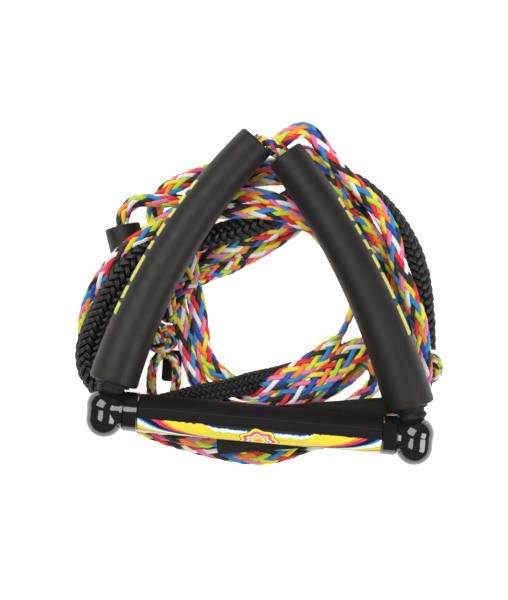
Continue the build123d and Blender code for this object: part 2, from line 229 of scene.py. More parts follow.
def raw_line(name, route):
    """The points of a smooth spline that has the route's points as its control points."""
    curve = bpy.data.curves.new(name, "CURVE")
    curve.dimensions = "3D"
    curve.resolution_u = 24
    spline = curve.splines.new("NURBS")
    spline.points.add(len(route) - 1)
    for point, place in zip(spline.points, route):
        point.co = (*place, 1)
    spline.order_u = 3
    spline.use_endpoint_u = True
    holder = bpy.data.objects.new(name, curve)
    scene.collection.objects.link(holder)
    bpy.context.view_layer.update()
    mesh = bpy.data.meshes.new_from_object(holder)
    points = np.array([vertex.co for vertex in mesh.vertices])
    bpy.data.objects.remove(holder)
    bpy.data.meshes.remove(mesh)
    return points


def running_length(points):
    """The distance along a line at each of its points."""
    steps = np.linalg.norm(np.diff(points, axis=0), axis=1)
    return np.concatenate([[0], np.cumsum(steps)])


def cord_line(name, stretches, step):
    """A cord's line at even steps, with its half width, half thickness and roll at each."""
    route = [point for stretch in stretches for point in stretch[3]]
    facts = [stretch[:3] for stretch in stretches for point in stretch[3]]
    points = raw_line(name, route)
    along = running_length(points)
    index = np.linspace(0, len(route) - 1, len(points))
    even = np.linspace(0, along[-1], int(along[-1] / step) + 1)
    line = np.stack([np.interp(even, along, points[:, axis]) for axis in range(3)], axis=1)
    place = np.interp(even, along, index)
    width, thickness, roll = np.array([
        np.interp(place, range(len(route)), [fact[kind] for fact in facts]) for kind in range(3)
    ])
    return line, width / 2, thickness / 2, np.radians(roll)


def unit(vectors):
    """The vectors brought to length one."""
    return vectors / np.linalg.norm(vectors, axis=-1, keepdims=True)


def line_frames(line, roll=0.0):
    """Side and upper directions across a line at each of its points."""
    tangent = unit(np.gradient(line, axis=0))
    side = unit(np.cross(tangent, up))
    top = np.cross(side, tangent)
    turn = np.broadcast_to(roll, len(line))[:, None]
    return side * np.cos(turn) + top * np.sin(turn), top * np.cos(turn) - side * np.sin(turn)


class Shape:
    """Collects grids of points into one mesh with UVs and material slots."""

    def __init__(self):
        self.points = []
        self.faces = []
        self.uvs = []
        self.slots = []

    def grid(self, rows, uvs, slot=0, loop=False):
        """Closed rows of points joined into faces. loop joins the last to the first, else both are capped."""
        first = len(self.points)
        count, width = rows.shape[:2]
        self.points.extend(rows.reshape(-1, 3).tolist())
        ids = first + np.arange(count * width).reshape(count, width)
        after = np.roll(ids, -1, axis=0) if loop else ids[1:]
        here = ids if loop else ids[:-1]
        uv_after = np.roll(uvs, -1, axis=0) if loop else uvs[1:]
        uv_here = uvs if loop else uvs[:-1]
        right = np.roll(here, -1, axis=1)
        right_after = np.roll(after, -1, axis=1)
        uv_right = np.roll(uv_here, -1, axis=1)
        uv_right_after = np.roll(uv_after, -1, axis=1)
        quads = np.stack([here, right, right_after, after], axis=-1).reshape(-1, 4)
        corners = np.stack([uv_here, uv_right, uv_right_after, uv_after], axis=2)
        self.faces.extend(quads.tolist())
        self.uvs.extend(corners.reshape(-1, 2).tolist())
        self.slots.extend([slot] * len(quads))
        if not loop:
            for ends, uv_ends in ((ids[0][::-1], uvs[0][::-1]), (ids[-1], uvs[-1])):
                self.faces.append(ends.tolist())
                self.uvs.extend(uv_ends.tolist())
                self.slots.append(slot)

    def tube(self, line, side, top, half_width, half_height, sides, slot):
        """A closed tube of oval section. Its UVs run across it and along it in metres."""
        angles = np.arange(sides) * 2 * pi / sides
        half_width = np.broadcast_to(half_width, len(line))[:, None, None]
        half_height = np.broadcast_to(half_height, len(line))[:, None, None]
        rows = (
            line[:, None]
            + side[:, None] * np.cos(angles)[None, :, None] * half_width
            + top[:, None] * np.sin(angles)[None, :, None] * half_height
        )
        across = np.broadcast_to((0.5 + 0.5 * np.cos(angles))[None], rows.shape[:2])
        along = np.broadcast_to(running_length(line)[:, None], rows.shape[:2])
        self.grid(rows, np.stack([across, along], axis=-1), slot)

    def build(self, name, materials):
        """The collected faces as one object."""
        mesh = bpy.data.meshes.new(name)
        mesh.from_pydata(self.points, [], self.faces)
        layer = mesh.uv_layers.new(name="UVMap")
        layer.data.foreach_set("uv", np.array(self.uvs, np.float32).ravel())
        mesh.polygons.foreach_set("material_index", self.slots)
        mesh.polygons.foreach_set("use_smooth", [True] * len(self.faces))
        for one in materials:
            mesh.materials.append(one)
        mesh.update()
        piece = bpy.data.objects.new(name, mesh)
        scene.collection.objects.link(piece)
        return piece


# Material helpers
def add(tree, kind, settings=None, inputs=None):
    """A node with these settings, its inputs linked or set."""
    node = tree.nodes.new(kind)
    for key, value in (settings or {}).items():
        setattr(node, key, value)
    for key, value in (inputs or {}).items():
        if isinstance(value, bpy.types.NodeSocket):
            tree.links.new(value, node.inputs[key])
        else:
            node.inputs[key].default_value = value
    return node


def calc(tree, operation, *values):
    """One Math node's result."""
    node = add(tree, "ShaderNodeMath", {"operation": operation}, dict(enumerate(values)))
    return node.outputs[0]


def mixed(tree, factor, first, second):
    """A colour between two, by a factor."""
    node = add(tree, "ShaderNodeMix", {"data_type": "RGBA"}, {0: factor, 6: first, 7: second})
    return node.outputs[2]


def ramp(tree, factor, stops):
    """Plain bands of colour by position along a ramp."""
    node = add(tree, "ShaderNodeValToRGB", None, {0: factor})
    node.color_ramp.interpolation = "CONSTANT"
    elements = node.color_ramp.elements
    while len(elements) < len(stops):
        elements.new(0.5)
    for element, (position, colour) in zip(elements, stops):
        element.position = position
        element.color = (*colour, 1)
    return node.outputs[0]


def coordinates(tree, source):
    """Texture coordinates of one kind, such as UV or Object."""
    return add(tree, "ShaderNodeTexCoord").outputs[source]


def channels(tree, vector):
    """A vector's three parts."""
    return add(tree, "ShaderNodeSeparateXYZ", None, {0: vector}).outputs


def noise(tree, scale, detail=2.0, vector=None, roughness=0.5):
    """Smooth noise in the object's own space, or along the vector given."""
    inputs = {"Scale": scale, "Detail": detail, "Roughness": roughness}
    inputs["Vector"] = vector or coordinates(tree, "Object")
    return add(tree, "ShaderNodeTexNoise", None, inputs).outputs[0]


def scaled(tree, factors, source="UV"):
    """Texture coordinates stretched by these factors."""
    inputs = {"Vector": coordinates(tree, source), "Scale": factors}
    return add(tree, "ShaderNodeMapping", None, inputs).outputs[0]


def finish_material(name, make, **sockets):
    """A material from make(tree), which gives its colour, roughness, bump height and bump depth.

    sockets are the shader's other values, by name.
    """
    made = bpy.data.materials.new(name)
    made.use_nodes = True
    tree = made.node_tree
    shader = tree.nodes["Principled BSDF"]
    for key, value in sockets.items():
        shader.inputs[key.replace("_", " ")].default_value = value
    colour, roughness, height, depth = make(tree)
    tree.links.new(colour, shader.inputs["Base Color"])
    if isinstance(roughness, bpy.types.NodeSocket):
        tree.links.new(roughness, shader.inputs["Roughness"])
    else:
        shader.inputs["Roughness"].default_value = roughness
    bump = add(tree, "ShaderNodeBump", None, {"Strength": 1.0, "Distance": depth, "Height": height})
    tree.links.new(bump.outputs[0], shader.inputs["Normal"])
    return made


def remap(tree, value, start, end, low, high, easing="LINEAR"):
    """A value's place between start and end, carried over to low and high."""
    inputs = {0: value, 1: start, 2: end, 3: low, 4: high}
    return add(tree, "ShaderNodeMapRange", {"interpolation_type": easing}, inputs).outputs[0]


def spread(tree, value, low, high):
    """A noise value, which lies mostly between 0.3 and 0.7, spread from low to high."""
    return remap(tree, value, 0.3, 0.7, low, high)


def yarn_material(name, colour, gloss=0.42):
    """Flat polypropylene yarn: fine filaments in three bundles along each strand, darkened towards each
    strand's edges as painted shade.
    """

    def make(tree):
        across = channels(tree, coordinates(tree, "UV"))[0]
        bundles = calc(tree, "SINE", calc(tree, "MULTIPLY", across, 6 * pi))
        filaments = noise(tree, 1.0, 3.0, scaled(tree, (24.0, 160.0, 1.0)), 0.7)
        patches = noise(tree, 260.0, 2.0)
        shade = calc(
            tree, "MULTIPLY", spread(tree, filaments, 0.80, 1.08), spread(tree, patches, 0.90, 1.06)
        )
        dark = tuple(0.35 * channel for channel in colour)
        # Painted shade: each strand darkens towards its edges, where it tucks under its neighbours; the dark
        # colour serves both this shade and the filaments' tone.
        off_middle = calc(tree, "ABSOLUTE", calc(tree, "SUBTRACT", across, 0.5))
        edge = remap(tree, off_middle, 0.40, 0.50, 1.0, 0.55)
        tint = mixed(tree, calc(tree, "MULTIPLY", shade, edge), (*dark, 1), (*colour, 1))
        height = calc(tree, "ADD", calc(tree, "MULTIPLY", bundles, 0.35), filaments)
        return tint, spread(tree, filaments, gloss - 0.06, gloss + 0.10), height, 0.00025

    return finish_material(name, make)


red = (0.80, 0.018, 0.022)
orange = (0.98, 0.26, 0.030)
yellow = (0.93, 0.72, 0.035)
lime = (0.52, 0.76, 0.030)
sky = (0.008, 0.26, 0.66)
royal = (0.008, 0.075, 0.40)
pink = (0.86, 0.20, 0.40)
magenta = (0.66, 0.045, 0.24)
white = (0.86, 0.85, 0.84)
black = (0.010, 0.010, 0.011)
yarn_colours = {
    "red": red, "orange": orange, "yellow": yellow, "lime": lime, "sky": sky,
    "royal": royal, "pink": pink, "magenta": magenta, "white": white, "black": black,
}
yarns = {name: yarn_material(f"yarn_{name}", colour) for name, colour in yarn_colours.items()}
black_braid_yarn = yarn_material("black_braid_yarn", (0.0050, 0.0048, 0.0048), 0.36)
# A near-black core tube inside each braid: painted shade standing in for the dark of the braid's hollow.
shadow_core_yarn = yarn_material("shadow_core_yarn", (0.012, 0.011, 0.011), 0.6)

rope_strands = [
    "pink", "orange", "white", "lime", "black", "sky", "red", "yellow", "yellow", "black", "pink", "red",
    "sky", "white", "black", "royal",
]
boat_strands = [
    "red", "yellow", "sky", "white", "lime", "black", "orange", "pink", "black", "orange", "magenta", "lime",
    "white", "black", "yellow", "royal",
]


# How a braid is laid
wander_reach = 24
wander_size = 0.05
lift_reach = 9
lift_size = 0.10
lift_share = 0.42
crossing_sharpness = 2.2
# The braid's dark core, painted shade for its hollow: its size against the yarns' reach, and its sides
shadow_core_share = 0.80
shadow_core_sides = 12


def smooth_noise(count, reach, size):
    """Seeded wander along a line, this many samples long from bump to bump."""
    knots = random.normal(0, size, int(count / reach) + 3)
    return np.interp(np.arange(count) / reach, np.arange(len(knots)), knots)


def braid(name, cord, strands, pitch, yarn_share, yarn_height, materials, cover=1.0, sides=8):
    """A hollow braid round a cord's line. Half the strands turn each way and pass over and under by twos.

    yarn_share is a yarn's width as a share of its room, and cover is the size of the dark core, a painted
    shade inside the braid, against the yarns.
    """
    line, half_width, half_thickness, roll = cord
    wander = smooth_noise(len(line), wander_reach, wander_size)
    half_width = half_width * (1 + wander)
    half_thickness = half_thickness * (1 - wander)
    side, top = line_frames(line, roll)
    along = running_length(line)
    pairs = len(strands) // 2
    names = sorted(set(strands))
    shape = Shape()
    core = shadow_core_share * cover
    reach_x = half_width - yarn_height
    reach_z = half_thickness - yarn_height
    # The dark core tube: painted shade for the braid's hollow, seen through the gaps between the yarns.
    shape.tube(line, side, top, reach_x * core, reach_z * core, shadow_core_sides, len(names))
    rim = pi * np.mean(3 * (half_width + half_thickness) - np.sqrt(
        (3 * half_width + half_thickness) * (half_width + 3 * half_thickness)
    ))
    slope = np.cos(np.arctan(rim / pitch))
    for strand, colour in enumerate(strands):
        turn = 1 if strand % 2 else -1
        angle = 2 * pi * (strand // 2) / pairs + turn * 2 * pi * along / pitch
        over = turn * np.tanh(crossing_sharpness * np.sin(pairs / 2 * angle + pi / 4))
        lift = lift_share * yarn_height * (over + smooth_noise(len(line), lift_reach, lift_size))
        x = (reach_x + lift) * np.cos(angle)
        z = (reach_z + lift) * np.sin(angle)
        path = line + side * x[:, None] + top * z[:, None]
        outward = unit(
            side * (np.cos(angle) / reach_x)[:, None] + top * (np.sin(angle) / reach_z)[:, None]
        )
        across = unit(np.cross(np.gradient(path, axis=0), outward))
        half_yarn = yarn_share * rim / pairs * slope / 2
        shape.tube(path, across, outward, half_yarn, yarn_height / 2, sides, names.index(colour))
    return shape.build(name, [materials[one] for one in names] + [shadow_core_yarn])


def colour_braid(name, cord, strands=rope_strands, pitch=0.098):
    """The flat colour braid of the main rope, or another like it."""
    return braid(name, cord, strands, pitch, yarn_share=0.90, yarn_height=0.0021, materials=yarns, cover=0.92)


main_cord = cord_line("main_line", main_stretches, 0.0018)
boat_cord = cord_line("boat_line", boat_stretches, 0.0018)
grab_cord = cord_line("grab_line", grab_stretches, 0.0012)
ribbed_cord = cord_line("ribbed_line", ribbed_stretches, 0.0009)
fringe_cord = cord_line("fringe_line", fringe_stretches, 0.0016)

main_rope = colour_braid("main_rope", main_cord)
boat_rope = colour_braid("boat_rope", boat_cord, boat_strands)
fringe = colour_braid("rope_tail", fringe_cord, boat_strands, 0.060)
black_only = {"black": black_braid_yarn}
grab_braid = braid(
    "grab_braid", grab_cord, ["black"] * 16, 0.050, yarn_share=0.98, yarn_height=0.0030, materials=black_only
)
ribbed_braid = braid(
    "ribbed_braid", ribbed_cord, ["black"] * 24, 0.050, yarn_share=0.94, yarn_height=0.0022,
    materials=black_only, sides=6,
)


# A tucked end beside the lead, under the right arm's head
tuck_stretches = [
    (0.0130, 0.0080, 0, [
        (0.003, 0.103, 0.0340), (0.013, 0.1090, 0.0350), (0.022, 0.1055, 0.0345), (0.030, 0.0970, 0.0320),
        (0.038, 0.0880, 0.0290), (0.045, 0.0780, 0.0240), (0.052, 0.0680, 0.0220),
    ]),
]
tuck_cord = cord_line("tuck_line", tuck_stretches, 0.0016)
tuck = colour_braid("tucked_end", tuck_cord, boat_strands, 0.080)


# A knot's proportions, where its loops swing 1 about a ring of radius 2
knot_rise = 1.3
knot_span = 4.3
knot_cord = 1.28
knot_pitch = 0.045


def knot(name, centre, size, tilt, strands):
    """A pulled-up overhand knot in a thin colour braid."""
    turns = np.linspace(0, 2 * pi, 180)
    reach = 2 + np.cos(3 * turns)
    rise = knot_rise * np.sin(3 * turns)
    loops = np.stack([reach * np.cos(2 * turns), reach * np.sin(2 * turns), rise], axis=1)
    scale = size / knot_span
    rotation = Matrix.Rotation(tilt[0], 3, "X") @ Matrix.Rotation(tilt[1], 3, "Y")
    line = loops * scale @ np.array(rotation)
    half = np.full(len(line), knot_cord * scale)
    cord = (line + np.array(centre), half, half * 0.9, np.zeros(len(line)))
    return colour_braid(name, cord, strands, knot_pitch)


grab_knot = knot("end_knot", (0.1235, -0.0475, 0.0145), 0.0155, (0.5, 0.4), boat_strands)
boat_knot = knot("boat_knot", (-0.0805, -0.0430, 0.0150), 0.0145, (0.3, -0.5), rope_strands)

# The loop behind the boat-end knot, a closed run of thinner braid
loop_turns = np.linspace(0, 2 * pi, 110)
loop_line = np.stack([
    -0.077 + 0.0095 * np.sin(loop_turns) * (1 + 0.25 * np.cos(loop_turns)),
    -0.079 + 0.0245 * np.cos(loop_turns),
    0.015 + 0.001 * np.cos(2 * loop_turns),
], axis=1)
loop_half = np.full(len(loop_line), 0.0041)
loop_cord = (loop_line, loop_half, loop_half, np.zeros(len(loop_line)))
boat_loop = colour_braid("boat_loop", loop_cord, boat_strands, 0.05)

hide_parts("rope_lead", "rope_coil", "bridle_splice")
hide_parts("boat_end_rope")
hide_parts("grab_rope")
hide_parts("ribbed_rope")
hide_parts("grab_knot")
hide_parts("boat_end_knot")
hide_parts("boat_end_loop")
for piece in (main_rope, boat_rope, fringe, tuck, grab_braid, ribbed_braid, grab_knot, boat_knot, boat_loop):
    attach(piece, "coil")


# Foam, plastic, webbing and metal
ring_pitch = 0.0016
dash_pitch = 0.0016


def foam_make(tree):
    """Matt closed-cell foam, with faint rings worn into it near the float's foot."""
    cells = noise(tree, 1900.0, 2.0)
    patches = noise(tree, 45.0, 3.0)
    dark = (0.0110, 0.0100, 0.0092, 1)
    light = (0.0155, 0.0140, 0.0130, 1)
    tint = mixed(tree, spread(tree, patches, 0.0, 1.0), dark, light)
    along = channels(tree, coordinates(tree, "UV"))[1]
    rings = calc(tree, "SINE", calc(tree, "MULTIPLY", along, 2 * pi / ring_pitch))
    near_foot = remap(tree, along, 0.012, 0.060, 1.0, 0.0)
    worn = calc(tree, "MULTIPLY", spread(tree, noise(tree, 90.0, 2.0), 0.0, 0.35), near_foot)
    height = calc(tree, "ADD", cells, calc(tree, "MULTIPLY", rings, worn))
    return tint, spread(tree, noise(tree, 130.0, 3.0), 0.44, 0.56), height, 0.00012


def cap_make(tree):
    """Glossy moulded plastic with a slight flow to it."""
    flow = noise(tree, 55.0, 2.0)
    tint = mixed(tree, flow, (0.006, 0.006, 0.007, 1), (0.011, 0.011, 0.012, 1))
    return tint, spread(tree, noise(tree, 160.0, 3.0), 0.035, 0.085), flow, 0.0005


def rubber_make(tree):
    """Matt black rubber."""
    grain = noise(tree, 900.0, 3.0)
    tint = mixed(tree, grain, (0.008, 0.008, 0.009, 1), (0.016, 0.016, 0.017, 1))
    return tint, spread(tree, grain, 0.5, 0.65), grain, 0.0001


def waves(tree, direction, scale, distortion):
    """Even bands across the object in one direction."""
    inputs = {"Vector": coordinates(tree, "Object"), "Scale": scale, "Distortion": distortion}
    return add(tree, "ShaderNodeTexWave", {"bands_direction": direction}, inputs).outputs[1]


def webbing_make(tree):
    """Woven webbing: ribs crossed by a finer slanting weave."""
    fine = waves(tree, "DIAGONAL", 260.0, 0.6)
    ribs = waves(tree, "Y", 190.0, 0.3)
    lint = noise(tree, 420.0, 3.0)
    weave = calc(tree, "ADD", calc(tree, "MULTIPLY", fine, 0.5), ribs)
    dark = (0.0130, 0.0115, 0.0100, 1)
    light = (0.0220, 0.0200, 0.0180, 1)
    tint = mixed(tree, spread(tree, lint, 0.0, 1.0), dark, light)
    return tint, spread(tree, lint, 0.62, 0.78), weave, 0.0002


def metal_make(tree):
    """Drawn aluminium, streaked along the tube."""
    drawn = noise(tree, 1.0, 2.0, scaled(tree, (40.0, 2400.0, 2400.0), "Object"))
    tint = mixed(tree, drawn, (0.60, 0.61, 0.63, 1), (0.72, 0.73, 0.74, 1))
    return tint, spread(tree, drawn, 0.28, 0.42), drawn, 0.00005


def ink_make(tree):
    """Worn printing ink."""
    wear = noise(tree, 320.0, 4.0)
    tint = mixed(tree, spread(tree, wear, 0.0, 1.0), (0.42, 0.44, 0.045, 1), (0.62, 0.62, 0.10, 1))
    return tint, spread(tree, wear, 0.40, 0.55), wear, 0.00004


foam = finish_material("float_foam", foam_make, Specular_IOR_Level=0.28)
gloss_plastic = finish_material("gloss_plastic", cap_make, Coat_Weight=0.6, Coat_Roughness=0.03)
rubber = finish_material("stop_rubber", rubber_make, Specular_IOR_Level=0.2)
webbing = finish_material("strap_webbing", webbing_make, Specular_IOR_Level=0.15, Sheen_Weight=0.05)
metal = finish_material("drawn_aluminium", metal_make, Metallic=1.0)
ink = finish_material("printed_marks", ink_make)

# The grip: plain foam above, a printed sheet of sweeping bands round its lower half
bar_y = -0.099
bar_z = 0.054
grip_radius = 0.0143
grip_half = 0.091
print_edge = asin(3.0 / 14.3)

# The printed sheet's measures in millimetres, from its upper edge down round the grip
sheet_half = 20.5
sweep_depth = 17.0
sweep_length = 24.0
sun_centre = 12.0
sun_half_width = 15.0
sun_half_height = 12.0


def grip_make(tree):
    """Black foam with a printed sheet of sweeping bands and a sunburst round the lower half."""
    x, y, z = channels(tree, coordinates(tree, "Object"))
    below = calc(tree, "MULTIPLY", calc(tree, "SUBTRACT", y, bar_y), -1.0)
    turn = calc(tree, "ARCTAN2", below, calc(tree, "SUBTRACT", z, bar_z))
    round_grip = calc(tree, "MULTIPLY", calc(tree, "SUBTRACT", turn, print_edge), grip_radius * 1000)
    # The sheet's pattern is mirrored about the grip's underside
    past_underside = calc(tree, "ABSOLUTE", calc(tree, "SUBTRACT", round_grip, sheet_half))
    depth = calc(tree, "SUBTRACT", sheet_half, past_underside)
    from_end = calc(tree, "MULTIPLY", calc(tree, "SUBTRACT", grip_half, calc(tree, "ABSOLUTE", x)), 1000.0)
    wobble = spread(tree, noise(tree, 60.0, 2.0), -1.6, 1.6)
    # Bands that leave the upper edge and flatten towards the bottom rim
    room = calc(tree, "SUBTRACT", 1.0, calc(tree, "DIVIDE", depth, sweep_depth))
    room = calc(tree, "MAXIMUM", room, 0.002)
    sweep = calc(tree, "MULTIPLY", calc(tree, "LOGARITHM", room, e), sweep_length)
    family = calc(tree, "ADD", calc(tree, "ADD", from_end, sweep), wobble)
    bands = ramp(tree, remap(tree, family, -60.0, 80.0, 0.0, 1.0), [
        (0.0, (0.80, 0.74, 0.55)), (0.26, red), (0.30, yellow), (0.325, lime), (0.372, white), (0.43, sky),
        (0.450, black), (0.500, magenta), (0.522, red), (0.538, orange), (0.560, (0.82, 0.70, 0.05)),
    ])
    # The second wave, under the upper edge near the middle
    crest = remap(tree, from_end, 47.0, 60.0, 0.0, 9.0, "SMOOTHSTEP")
    ragged = calc(tree, "ADD", depth, spread(tree, noise(tree, 420.0, 2.0), -0.8, 0.8))
    share = calc(tree, "DIVIDE", ragged, calc(tree, "MAXIMUM", crest, 0.01))
    wave = ramp(tree, calc(tree, "MULTIPLY", share, 0.9), [
        (0.0, (0.030, 0.026, 0.025)), (0.20, sky), (0.28, white), (0.55, lime), (0.72, (0.82, 0.70, 0.05)),
        (0.86, orange), (0.94, magenta),
    ])
    in_wave = calc(tree, "LESS_THAN", share, 1.0)
    sheet = mixed(tree, in_wave, bands, wave)
    # A plain sunburst of rings in the middle
    far_x = calc(tree, "MULTIPLY", x, 1000 / sun_half_width)
    far_y = calc(tree, "DIVIDE", calc(tree, "SUBTRACT", depth, sun_centre), sun_half_height)
    spokes = calc(tree, "SINE", calc(tree, "MULTIPLY", calc(tree, "ARCTAN2", far_x, far_y), 7.0))
    squares = calc(tree, "ADD", calc(tree, "POWER", far_x, 2.0), calc(tree, "POWER", far_y, 2.0))
    rings = calc(tree, "SQRT", squares)
    burst = calc(tree, "ADD", rings, calc(tree, "MULTIPLY", spokes, 0.07))
    sun = ramp(tree, burst, [
        (0.0, orange), (0.22, (0.93, 0.80, 0.10)), (0.42, black), (0.47, white), (0.60, magenta),
        (0.72, orange), (0.80, (0.93, 0.80, 0.10)), (0.94, black),
    ])
    sheet = mixed(tree, calc(tree, "LESS_THAN", burst, 0.98), sheet, sun)
    # Foam elsewhere, with bright specks and a faint dotted line along the top
    specks = calc(tree, "GREATER_THAN", noise(tree, 2600.0, 1.0), 0.74)
    dash_wave = calc(tree, "SINE", calc(tree, "MULTIPLY", x, 2 * pi / dash_pitch))
    dashes = calc(tree, "GREATER_THAN", dash_wave, 0.1)
    near_line = calc(tree, "LESS_THAN", calc(tree, "ABSOLUTE", calc(tree, "ADD", turn, 0.33)), 0.012)
    dotted = calc(tree, "MULTIPLY", dashes, near_line)
    lint = calc(tree, "MAXIMUM", calc(tree, "MULTIPLY", specks, 0.5), dotted)
    foam_black = (0.0080, 0.0070, 0.0070, 1)
    lint_grey = (0.10, 0.09, 0.085, 1)
    plain = mixed(tree, calc(tree, "MULTIPLY", lint, 0.5), foam_black, lint_grey)
    printed = calc(tree, "GREATER_THAN", depth, 0.0)
    pores = noise(tree, 1500.0, 3.0)
    rough = calc(tree, "SUBTRACT", spread(tree, pores, 0.62, 0.80), calc(tree, "MULTIPLY", printed, 0.15))
    return mixed(tree, printed, plain, sheet), rough, pores, 0.00010


grip_finish = finish_material("printed_grip", grip_make, Specular_IOR_Level=0.15)
cad_finishes = {
    "grip_sleeve": grip_finish,
    "end_cap_left": gloss_plastic,
    "end_cap_right": gloss_plastic,
    "core_tube": metal,
    "tube_bush_left": rubber,
    "tube_bush_right": rubber,
    "stop_ring_left": rubber,
    "stop_ring_right": rubber,
    "strap_hook_patch": webbing,
}
for node, finish in cad_finishes.items():
    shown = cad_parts[node]
    shown.data.materials.clear()
    shown.data.materials.append(finish)

# Bridle arms
exit_offset = 0.1135
fold_y = -0.0835
float_wide = 0.01875
float_narrow = 0.0145
float_edge = 0.0022
bore = 0.0050
arms = {
    "left": {"side": -1, "apex": (-0.021, 0.112), "bow": 0.0135, "start": 0.0055},
    "right": {"side": 1, "apex": (0.0, 0.104), "bow": 0.0110, "start": 0.0074},
}


class Arm:
    """One arm's line: an arc from the fold beside the end cap to the apex."""

    def __init__(self, side, apex, bow, start):
        self.side = side
        self.start = start
        foot = np.array([side * exit_offset, fold_y, bar_z])
        head = np.array([*apex, bar_z])
        chord = head - foot
        half = np.linalg.norm(chord) / 2
        outward = unit(np.array([side * chord[1], -side * chord[0], 0.0]))
        self.radius = (half**2 + bow**2) / (2 * bow)
        self.centre = (foot + head) / 2 + outward * (bow - self.radius)
        spoke = foot - self.centre
        self.first = atan2(spoke[1], spoke[0])
        self.length = 2 * self.radius * asin(half / self.radius)

    def at(self, distance):
        """The point at a distance from the fold, and the directions to the outer side and along the arm."""
        angle = self.first + self.side * distance / self.radius
        outer = np.array([cos(angle), sin(angle), 0.0])
        along = self.side * np.array([-sin(angle), cos(angle), 0.0])
        return self.centre + outer * self.radius, outer, along

    def place(self, distance):
        """The point at a distance from the fold, and the direction to the outer side."""
        return self.at(distance)[:2]

    def reach(self, distance):
        """The float's radius there."""
        share = (distance - self.start) / (self.length - self.start)
        return float_wide + (float_narrow - float_wide) * share


def lathe(name, place, profile, material, sides=72):
    """A closed ring-shaped body: rings of each radius at each distance, joined end to end."""
    angles = np.arange(sides) * 2 * pi / sides
    rows = []
    uvs = []
    for distance, radius in profile:
        centre, outer = place(distance)
        rows.append(centre + radius * (np.cos(angles)[:, None] * up + np.sin(angles)[:, None] * outer))
        uvs.append(np.stack([angles / (2 * pi), np.full(sides, distance)], axis=1))
    shape = Shape()
    shape.grid(np.array(rows), np.array(uvs), loop=True)
    piece = shape.build(name, [material])
    tidy = bmesh.new()
    tidy.from_mesh(piece.data)
    bmesh.ops.recalc_face_normals(tidy, faces=tidy.faces)
    tidy.to_mesh(piece.data)
    tidy.free()
    return piece


def float_profile(start, end, reach, edge, hole, steps):
    """Distances and radii round a float: its rounded foot, length and head, and back through its bore."""
    corner = np.linspace(0, pi / 2, 7)
    foot = [(start + edge * (1 - cos(turn)), reach(start) - edge * (1 - sin(turn))) for turn in corner]
    middle = np.linspace(start + edge, end - edge, steps)[1:-1]
    body = [(distance, reach(distance)) for distance in middle]
    head = [(end - edge * (1 - sin(turn)), reach(end) - edge * (1 - cos(turn))) for turn in corner]
    inside = [(distance, hole) for distance in np.linspace(end, start, steps // 2)]
    return foot + body + head + inside


marks = {
    "left": [
        (0.054, 0.063), (0.066, 0.076), (0.080, 0.101), (0.106, 0.113), (0.118, 0.128), (0.133, 0.141),
        (0.146, 0.154), (0.158, 0.167),
    ],
    "right": [
        (0.059, 0.082), (0.087, 0.108), (0.112, 0.123), (0.127, 0.135), (0.140, 0.148), (0.151, 0.160),
        (0.163, 0.171),
    ],
}
mark_angles = (radians(56), radians(82))
mark_slant = 0.0012
mark_lifts = (0.00018, -0.0002)
mark_steps = 6


def mark_ring(arm, start, end, slant):
    """A thin curved plate on an arm's float, whose two ends slant."""
    levels = []
    for lift in mark_lifts:
        rows = []
        for distance in np.linspace(start, end, 9):
            row = []
            for step, angle in enumerate(np.linspace(*mark_angles, mark_steps)):
                centre, outer = arm.place(distance + slant * (step / (mark_steps - 1) - 0.5))
                row.append(centre + (arm.reach(distance) + lift) * (cos(angle) * up + sin(angle) * outer))
            rows.append(row)
        levels.append(np.array(rows))
    return np.concatenate([levels[0], levels[1][:, ::-1]], axis=1)


for side_name, facts in arms.items():
    arm = Arm(**facts)
    profile = float_profile(arm.start, arm.length, arm.reach, float_edge, bore, 44)
    piece = lathe(f"float_{side_name}", arm.place, profile, foam)
    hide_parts(f"arm_float_{side_name}")
    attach(piece, "arms")
    shape = Shape()
    for mark, (start, end) in enumerate(marks[side_name]):
        ring = mark_ring(arm, start, end, mark_slant * (-1) ** mark)
        shape.grid(ring, np.zeros((*ring.shape[:2], 2)))
    piece = shape.build(f"marks_{side_name}", [ink])
    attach(piece, "arms")

    # The leg of rope in the float's bore, from inside the end cap to the apex
    distances = np.arange(-0.012, arm.length + 0.004, 0.0018)
    line = np.array([arm.at(distance)[0] for distance in distances])
    half = np.full(len(line), 0.0047)
    leg = colour_braid(f"leg_{side_name}", (line, half, half, np.zeros(len(line))), boat_strands, 0.05)
    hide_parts(f"bridle_leg_{side_name}")
    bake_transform(leg)

# A soft black sleeve on each leg closes the gap between the end cap and the float; its black stands in for
# the shade in that gap, as painted shade.
for side_name, facts in arms.items():
    arm = Arm(**facts)
    shade_boot_profile = [
        (-0.0030, 0.0052), (-0.0030, 0.0085), (-0.0010, 0.0108), (0.0010, 0.0108), (0.0022, 0.0096),
        (arm.start - 0.0018, 0.0108), (arm.start, 0.0128), (arm.start + 0.0006, 0.0128),
        (arm.start + 0.0006, 0.0052),
    ]
    # Painted shade: the black sleeve fills the dark gap at the float's foot.
    shade_boot = lathe(f"boot_{side_name}", arm.place, shade_boot_profile, rubber)
    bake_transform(shade_boot)

